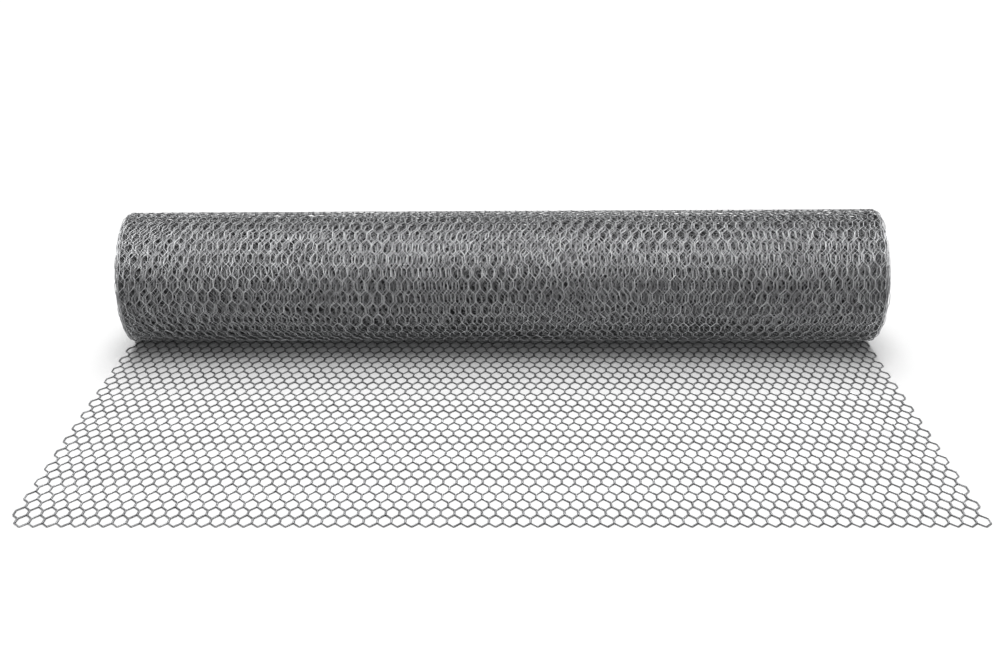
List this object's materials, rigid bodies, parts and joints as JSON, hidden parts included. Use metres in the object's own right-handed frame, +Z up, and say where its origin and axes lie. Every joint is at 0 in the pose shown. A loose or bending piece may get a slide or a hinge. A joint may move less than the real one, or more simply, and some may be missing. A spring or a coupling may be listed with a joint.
{
  "type": "roll of chicken wire",
  "caption": "Roll of galvanised hexagonal wire netting on its side, with its loose end unrolled flat on the floor.",
  "frame": {"origin": "on the floor, under the centre of the whole object's box", "axes": "+X along the roll's axis, -Y the way the loose end runs out from under the roll, +Z up"},
  "size_m": [0.9, 0.545, 0.1599],
  "materials": {
    "zinc": "dull galvanised zinc"
  },
  "bodies": {
    "root": {"winding": "zinc", "flat_band_1": "zinc", "flat_band_2": "zinc", "flat_band_3": "zinc", "flat_band_4": "zinc", "flat_band_5": "zinc", "flat_band_6": "zinc", "flat_band_7": "zinc", "flat_band_8": "zinc", "flat_band_9": "zinc", "flat_band_10": "zinc"}
  },
  "joints": []
}
